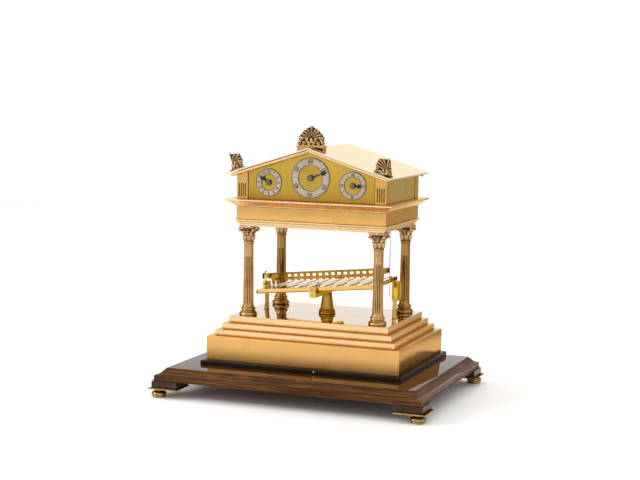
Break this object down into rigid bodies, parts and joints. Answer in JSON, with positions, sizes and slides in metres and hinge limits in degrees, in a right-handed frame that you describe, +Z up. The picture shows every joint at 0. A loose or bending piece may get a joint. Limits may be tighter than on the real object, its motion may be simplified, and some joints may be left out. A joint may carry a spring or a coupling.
{
  "type": "rolling ball clock",
  "caption": "Temple-form mantel clock with a rocking grooved table on which a ball rolls, three dials in the pediment, columns and a wooden board.",
  "frame": {"origin": "on the resting plane under the centre of the wooden board", "axes": "+X to the viewer's right, +Y towards the back, +Z up; the dials face -Y"},
  "size_m": [0.4116, 0.3116, 0.3902],
  "materials": {
    "walnut": "glossy polished figured veneer",
    "black_wood": "ebonised, polished",
    "satin_brass": "fine satin, lacquered",
    "polished_brass": "polished, lacquered",
    "column_brass": "satin with darkened flutes",
    "antique_brass": "cast, dark patina in the recesses",
    "gilt_plate": "vertical fine brushing",
    "roof_brass": "polished sheet",
    "silvered_brass": "matt silvered",
    "blued_steel": "heat blued",
    "movement_brass": "polished",
    "bright_steel": "polished steel",
    "table_brass": "polished, milled grooves"
  },
  "bodies": {
    "frame": {"wood_board": "walnut", "foot_front_left": "polished_brass", "foot_front_right": "polished_brass", "foot_back_left": "polished_brass", "foot_back_right": "polished_brass", "blank_plaque": "polished_brass", "black_plinth": "black_wood", "base_block": "satin_brass", "lower_step": "satin_brass", "upper_step": "satin_brass", "platform": "polished_brass", "column_front_left": "column_brass", "capital_front_left": "antique_brass", "column_front_right": "column_brass", "capital_front_right": "antique_brass", "column_back_left": "column_brass", "capital_back_left": "antique_brass", "column_back_right": "column_brass", "capital_back_right": "antique_brass", "architrave": "satin_brass", "frieze": "satin_brass", "cornice": "satin_brass", "pilaster_front_left": "satin_brass", "pilaster_front_right": "satin_brass", "pilaster_back_left": "satin_brass", "pilaster_back_right": "satin_brass", "dial_plate": "gilt_plate", "back_panel": "gilt_plate", "side_panel_left": "gilt_plate", "side_panel_right": "gilt_plate", "roof_panel_left": "roof_brass", "roof_panel_right": "roof_brass", "raking_moulding_front": "satin_brass", "raking_moulding_back": "satin_brass", "finial_centre": "antique_brass", "finial_left": "antique_brass", "finial_right": "antique_brass", "chapter_ring_hour": "silvered_brass", "chapter_ring_minute": "silvered_brass", "chapter_ring_seconds": "silvered_brass", "movement_front_plate": "movement_brass", "movement_back_plate": "movement_brass", "central_pillar": "column_brass", "cradle_bar": "polished_brass", "left_post": "polished_brass", "right_post": "polished_brass"},
    "table": {"rocking_table": "table_brass", "bridge": "polished_brass"},
    "ball": {"rolling_ball": "bright_steel"},
    "rod": {"connecting_rod": "bright_steel"},
    "crank": {"crank_disc": "bright_steel"},
    "hour": {"hour_hand": "blued_steel", "hour_wheel": "movement_brass"},
    "minute": {"minute_hand": "blued_steel", "centre_wheel": "movement_brass"},
    "seconds": {"seconds_hand": "blued_steel", "seconds_wheel": "movement_brass"},
    "barrel": {"mainspring_barrel": "movement_brass"},
    "left_lever": {"left_release_lever": "polished_brass"},
    "right_lever": {"right_release_lever": "polished_brass"}
  },
  "joints": [
    {"name": "table_tilt", "type": "hinge", "parent": "frame", "child": "table", "pos_m": [0, 0.0185, 0.1537], "axis": [0, 1, 0], "range_deg": [0, 11.6]},
    {"name": "rod_slide", "type": "slide", "parent": "frame", "child": "rod", "axis": [0, 0, 1], "range_m": [-0.0194, 0]},
    {"name": "crank_turn", "type": "hinge", "parent": "frame", "child": "crank", "pos_m": [0.0953, 0.0115, 0.299], "axis": [0, 1, 0], "range_deg": [0, 180.5]},
    {"name": "ball_roll", "type": "slide", "parent": "table", "child": "ball", "axis": [0.1019, 0.9947, 0.0103], "range_m": [-0.018, 0.078]},
    {"name": "seconds_turn", "type": "hinge", "parent": "frame", "child": "seconds", "pos_m": [0.0639, -0.0565, 0.3073], "axis": [0, 1, 0], "continuous": true},
    {"name": "minute_turn", "type": "hinge", "parent": "frame", "child": "minute", "pos_m": [0, -0.0565, 0.316], "axis": [0, 1, 0], "continuous": true},
    {"name": "hour_turn", "type": "hinge", "parent": "frame", "child": "hour", "pos_m": [-0.0639, -0.0565, 0.3073], "axis": [0, 1, 0], "continuous": true},
    {"name": "barrel_turn", "type": "hinge", "parent": "frame", "child": "barrel", "pos_m": [-0.02, -0.0245, 0.297], "axis": [0, 1, 0], "continuous": true},
    {"name": "left_lever_swing", "type": "hinge", "parent": "frame", "child": "left_lever", "pos_m": [-0.0976, 0.0105, 0.149], "axis": [0, 1, 0], "range_deg": [-8, 0], "stiffness_Nm_per_rad": 0.02},
    {"name": "right_lever_swing", "type": "hinge", "parent": "frame", "child": "right_lever", "pos_m": [0.1057, 0.0105, 0.1586], "axis": [0, 1, 0], "range_deg": [0, 8], "stiffness_Nm_per_rad": 0.02}
  ],
  "couplings": [
    {"joint": "rod_slide", "follows": "table_tilt", "m_per_rad": -0.095131},
    {"joint": "crank_turn", "follows": "table_tilt", "ratio": 15.517},
    {"joint": "minute_turn", "follows": "seconds_turn", "ratio": 0.016667},
    {"joint": "hour_turn", "follows": "seconds_turn", "ratio": 0.0013889},
    {"joint": "barrel_turn", "follows": "seconds_turn", "ratio": -0.0027778}
  ]
}
